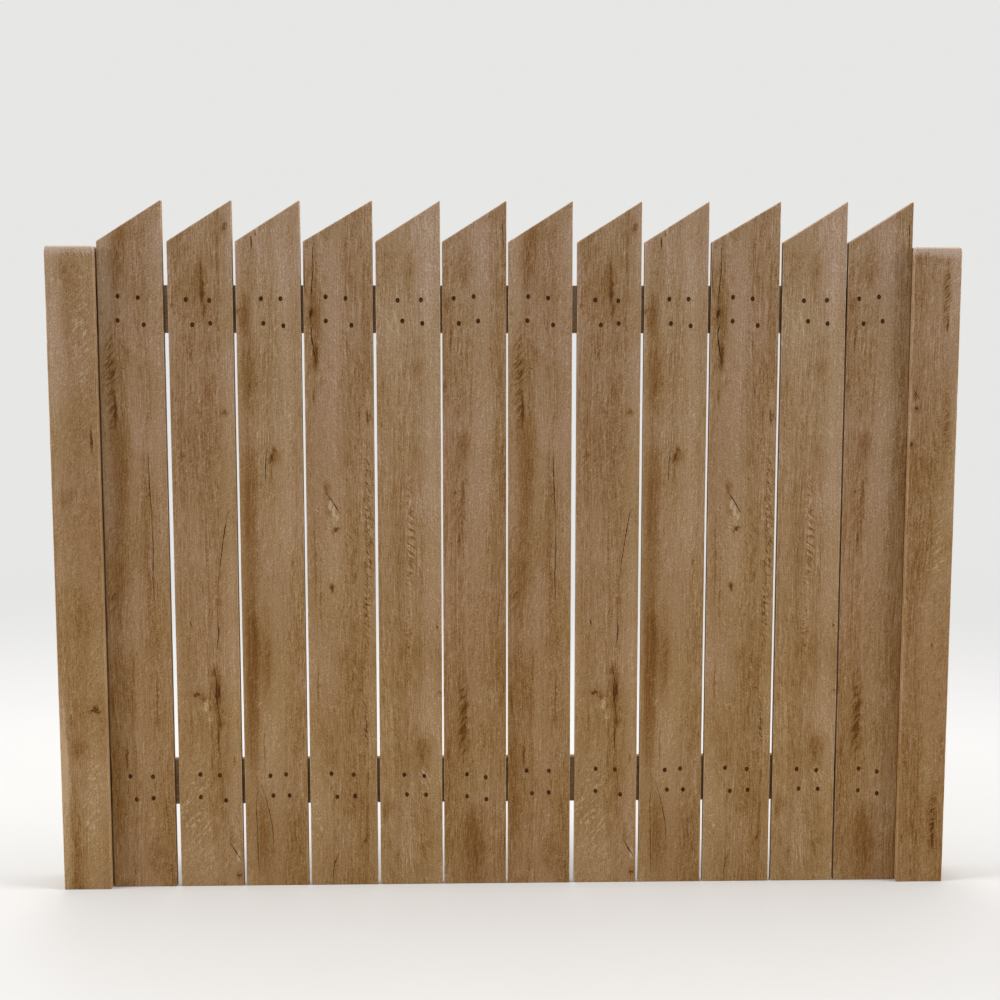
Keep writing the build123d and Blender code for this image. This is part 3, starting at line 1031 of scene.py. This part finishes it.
class FENCE_OT_rails(bpy.types.Operator):
    """Two rails with eased edges, stub tenons and a blind bore for each nail"""

    bl_idname = "fence.rails"
    bl_label = "Rails"

    def execute(self, context):
        timber, look = context.scene.fence_timber, context.scene.fence_look
        for name, seed in RAIL_SEEDS.items():
            node = name + "_rail"
            low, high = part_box(node)
            length, thick, tall = high - low
            oak = Oak("rail_oak_" + name, look, RAIL_MARKS, (tall / MM, thick / MM), seed, lying=True)
            tenon = -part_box("right_post")[0].x - low.x
            form = skin(self.rings(timber, length, thick, tall, tenon, seed))
            piece = put_in_scene("rail_" + name, form, low, oak.mixed())
            tools = [self.bore(x - low.x, z - low.z) for board in range(1, BOARD_COUNT + 1)
                     for x, z in nail_places(board) if low.z < z < high.z]
            dress(piece, tools, look, [node])
        return {"FINISHED"}

    @staticmethod
    def rings(timber, length, thick, tall, tenon, seed):
        """The rail's sections from the end of one tenon to the end of the other."""
        def tenon_ring(along, inset):
            points = section(tall - 2 * TENON_SHOULDER, thick, [TENON_EDGE] * 4, inset)
            return [(along, y, x + TENON_SHOULDER) for x, y in points]

        ends = [(0.0, TENON_BEVEL), (TENON_BEVEL, 0.0), (tenon, 0.0)]
        rings = [tenon_ring(along, inset) for along, inset in ends]
        steps = int((length - 2 * tenon) / timber.ring_step)
        for step in range(steps + 1):
            along = tenon + (length - 2 * tenon) * step / steps
            points = worn_section(tall, thick, timber.rail_round, timber.edge_wear, seed, along)
            rings.append([(along, y, x) for x, y in points])
        return rings + [tenon_ring(length - along, inset) for along, inset in reversed(ends)]

    @staticmethod
    def bore(x, z):
        """A blind oval bore for one nail."""
        return skin([oval(BORE_HALF, x, deep, z, count=BORE_STEPS) for deep in RAIL_BORE])


class FENCE_OT_boards(bpy.types.Operator):
    """Twelve slant-topped boards with worn edges, drying splits and a sunk hole for each nail"""

    bl_idname = "fence.boards"
    bl_label = "Boards"

    def execute(self, context):
        timber, look = context.scene.fence_timber, context.scene.fence_look
        finishes = {}
        for number in range(1, BOARD_COUNT + 1):
            node = "picket_%02d" % number
            turn = (number - 1) % BOARDS_PER_BAY
            low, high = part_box(node)
            width, thick, peak = high - low
            shoulder = peak - SHOULDER_DROP
            rise = SHOULDER_DROP / width
            marks = BOARD_MARKS[turn]
            if turn not in finishes:
                oak = Oak("board_oak_%d" % (turn + 1), look, marks, (width / MM, thick / MM), turn + 1)
                finishes[turn] = oak.mixed(slant=(rise, shoulder / MM))
            form = skin(self.rings(timber, width, thick, shoulder, rise, number))
            piece = put_in_scene("board_%02d" % number, form, low, finishes[turn])
            chance = random.Random(number)
            tools = [split_tool(wide, points, chance) for wide, points in marks.splits]
            tools += [self.nail_hole(timber, x - low.x, z - low.z, thick, chance)
                      for x, z in nail_places(number)]
            dress(piece, tools, look, [node])
        return {"FINISHED"}

    @staticmethod
    def rings(timber, width, thick, shoulder, rise, seed):
        """The board's sections from foot to slanted top."""
        edge = timber.board_round
        run = math.hypot(1.0, rise)
        rings = []

        def lay(inset, along, height):
            points = worn_section(width, thick, edge, timber.edge_wear, seed, along, inset)
            rings.append([(x, y, height(x)) for x, y in points])

        for inset, up in ((1.0, 0.0), (0.3, 0.3), (0.0, 1.0)):
            lay(inset * BOARD_FOOT, up * BOARD_FOOT, lambda x: up * BOARD_FOOT)
        steps = int(shoulder / timber.ring_step)
        for step in range(1, steps + 1):
            part = step / steps
            lay(0.0, part * shoulder,
                lambda x: BOARD_FOOT + (shoulder + rise * x - edge * run - BOARD_FOOT) * part)
        for step in range(1, TOP_STEPS + 1):
            bend = 0.5 * math.pi * step / TOP_STEPS
            drop = edge * (1 - math.sin(bend)) * run
            lay(edge * (1 - math.cos(bend)), shoulder, lambda x: shoulder + rise * x - drop)
        return rings

    @staticmethod
    def nail_hole(timber, x, z, thick, chance):
        """An oval sinking for the head, then a narrow bore right through."""
        sinking = [half + timber.hole_room for half in HEAD_HALF]
        mouth = [half + MOUTH_FLARE for half in sinking]
        turn = chance.uniform(-HOLE_TURN, HOLE_TURN)
        return skin([oval(half, x, deep, z, turn) for half, deep in (
            (mouth, MOUTH_PROUD), (sinking, MOUTH_DEPTH), (sinking, SINKING_DEPTH),
            (BORE_HALF, SINKING_DEPTH), (BORE_HALF, thick + BORE_PAST))])


class FENCE_OT_nails(bpy.types.Operator):
    """Oval iron nails, eight to a board, with domed heads punched below the face"""

    bl_idname = "fence.nails"
    bl_label = "Nails"

    def execute(self, context):
        timber, look = context.scene.fence_timber, context.scene.fence_look
        finish = iron_finish(look)
        for number in range(1, BOARD_COUNT + 1):
            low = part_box("picket_%02d" % number)[0]
            chance = random.Random(NAIL_SEED + number)
            forms = [self.nail(timber.nail_sink, x - low.x, z - low.z, chance)
                     for x, z in nail_places(number)]
            piece = put_in_scene("board_%02d_nails" % number, join_forms(forms), low, finish)
            smooth(piece, IRON_CREASE)
            hand_over(piece, ["picket_%02d_nails" % number])
        return {"FINISHED"}

    @staticmethod
    def nail(sink, x, z, chance):
        """One nail: a hammered oval head, an oval shank and its point."""
        turn = chance.uniform(-NAIL_TURN, NAIL_TURN)
        ripple = chance.uniform(0, 50)
        wide, tall = HEAD_HALF
        rings = [oval((wide * part, tall * part), x, sink + deep * MM, z, turn, ripple)
                 for part, deep in HEAD_PROFILE]
        rings += [oval(half, x, sink + deep, z, turn) for half, deep in SHANK_PROFILE]
        return skin(rings)


class FENCE_OT_stage(bpy.types.Operator):
    """Pale floor, soft studio light and the camera"""

    bl_idname = "fence.stage"
    bl_label = "Stage"

    def execute(self, context):
        scene, stage = context.scene, context.scene.fence_stage
        form = bmesh.new()
        bmesh.ops.create_circle(form, cap_ends=True, radius=FLOOR_RADIUS, segments=64)
        floor = put_in_scene("floor", form, (0, 0, 0), floor_finish(stage))
        scene.world = room_light(stage)
        for name, power, place, wide, tall in LAMPS:
            self.lamp(name, getattr(stage, power), place, wide, tall)
        camera = bpy.data.objects.new("camera", bpy.data.cameras.new("camera"))
        camera.data.lens = stage.lens
        camera.location = stage.camera_place
        camera.rotation_euler = (math.radians(90) - stage.camera_tilt, 0.0, stage.camera_turn)
        scene.collection.objects.link(camera)
        scene.camera = camera
        scene.view_settings.view_transform = "Standard"
        return {"FINISHED"}

    @staticmethod
    def lamp(name, power, place, wide, tall):
        """A soft lamp that faces the fence."""
        data = bpy.data.lights.new(name, "AREA")
        data.shape = "RECTANGLE"
        data.size, data.size_y = wide, tall
        data.energy = power
        lamp = bpy.data.objects.new(name, data)
        lamp.location = place
        lamp.rotation_euler = (LAMP_AIM - Vector(place)).to_track_quat("-Z", "Y").to_euler()
        bpy.context.scene.collection.objects.link(lamp)


class FENCE_PT_panel(bpy.types.Panel):
    """The fence's pieces, sizes and colours"""

    bl_label = "Oak garden fence"
    bl_idname = "FENCE_PT_panel"
    bl_space_type = "VIEW_3D"
    bl_region_type = "UI"
    bl_category = "Fence"

    def draw(self, context):
        for operator in OPERATORS:
            self.layout.operator(operator.bl_idname)
        for group in GROUPS:
            values = getattr(context.scene, group)
            column = self.layout.column(align=True)
            for name in values.__annotations__:
                column.prop(values, name)


OPERATORS = (FENCE_OT_posts, FENCE_OT_rails, FENCE_OT_boards, FENCE_OT_nails, FENCE_OT_stage)
GROUPS = {"fence_timber": FenceTimber, "fence_look": FenceLook, "fence_stage": FenceStage}
CLASSES = (*GROUPS.values(), *OPERATORS, FENCE_PT_panel)


def register():
    for entry in CLASSES:
        bpy.utils.register_class(entry)
    for name, group in GROUPS.items():
        setattr(bpy.types.Scene, name, PointerProperty(type=group))


def unregister():
    for name in GROUPS:
        delattr(bpy.types.Scene, name)
    for entry in reversed(CLASSES):
        bpy.utils.unregister_class(entry)


def main():
    register()
    bpy.ops.fence.posts()
    bpy.ops.fence.rails()
    bpy.ops.fence.boards()
    bpy.ops.fence.nails()
    bpy.ops.fence.stage()
    bpy.context.view_layer.update()


if __name__ == "__main__":
    main()
